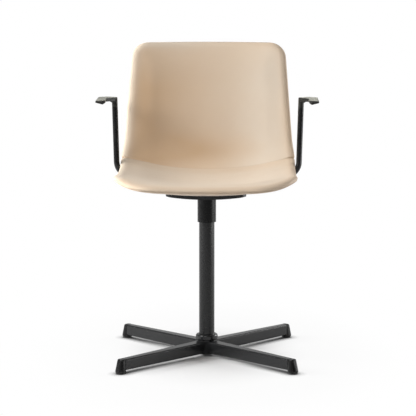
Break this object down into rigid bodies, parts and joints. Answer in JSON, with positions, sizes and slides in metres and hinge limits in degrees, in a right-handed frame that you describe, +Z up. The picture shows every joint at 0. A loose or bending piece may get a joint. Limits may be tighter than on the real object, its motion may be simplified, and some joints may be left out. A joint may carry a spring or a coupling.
{
  "type": "swivel armchair",
  "caption": "Low-backed swivel armchair: one-piece curved shell fully upholstered in tan leather, slim tubular arms with flat pads, black column on a star base.",
  "frame": {"origin": "on the column axis at floor level, under the centre of the base", "axes": "+Z up along the column axis, the sitter faces -Y, +X is to the right in the picture (the sitter's left hand)"},
  "size_m": [0.578, 0.5378, 0.7981],
  "materials": {
    "base_enamel": "semi-gloss black enamel on cast aluminium",
    "black_enamel": "satin black enamel on steel",
    "plate_enamel": "satin black enamel on cast aluminium",
    "cap_plastic": "matte black moulded plastic",
    "arm_plastic": "fine-grained black moulded plastic",
    "glide_plastic": "grey plastic glide",
    "bush_plastic": "natural ivory bearing plastic",
    "zinc_steel": "zinc-plated steel",
    "bright_steel": "ground bearing steel",
    "brass": "plain brass",
    "shell_plastic": "moulded structural plastic",
    "foam": "moulded polyurethane foam",
    "tan_leather": "smooth natural tan leather, low sheen"
  },
  "bodies": {
    "base": {"star_base": "base_enamel", "leg_cap_1": "cap_plastic", "leg_cap_2": "cap_plastic", "leg_cap_3": "cap_plastic", "leg_cap_4": "cap_plastic", "glide_1": "glide_plastic", "glide_2": "glide_plastic", "glide_3": "glide_plastic", "glide_4": "glide_plastic", "column_tube": "black_enamel", "column_plug": "zinc_steel", "column_washer": "zinc_steel", "column_bolt": "zinc_steel", "lower_bush": "bush_plastic", "upper_bush": "bush_plastic", "bearing_lower_washer": "bright_steel"},
    "bearing_cage": {"bearing_cage": "brass", "bearing_balls": "bright_steel"},
    "seat": {"bearing_upper_washer": "bright_steel", "spindle": "bright_steel", "spindle_washer": "zinc_steel", "spindle_circlip": "zinc_steel", "spindle_top_washer": "zinc_steel", "spindle_top_bolt": "zinc_steel", "swivel_sleeve": "black_enamel", "sleeve_bush": "bush_plastic", "seat_plate": "plate_enamel", "plate_screws": "zinc_steel", "plate_washers": "zinc_steel", "shell_inserts": "brass", "arm_tube_left": "black_enamel", "arm_tube_right": "black_enamel", "arm_socket_screws": "zinc_steel", "armrest_left": "arm_plastic", "armrest_right": "arm_plastic", "armrest_screws": "zinc_steel", "shell_core": "shell_plastic", "seat_foam": "foam", "back_foam": "foam", "rear_padding": "foam", "seat_cover": "tan_leather", "back_cover": "tan_leather", "rear_cover": "tan_leather"}
  },
  "joints": [
    {"name": "seat_swivel", "type": "hinge", "parent": "base", "child": "seat", "pos_m": [0, 0, 0.4], "axis": [0, 0, 1], "continuous": true},
    {"name": "bearing_cage_turn", "type": "hinge", "parent": "base", "child": "bearing_cage", "pos_m": [0, 0, 0.4], "axis": [0, 0, 1], "continuous": true}
  ],
  "couplings": [
    {"joint": "bearing_cage_turn", "follows": "seat_swivel", "ratio": 0.5}
  ]
}
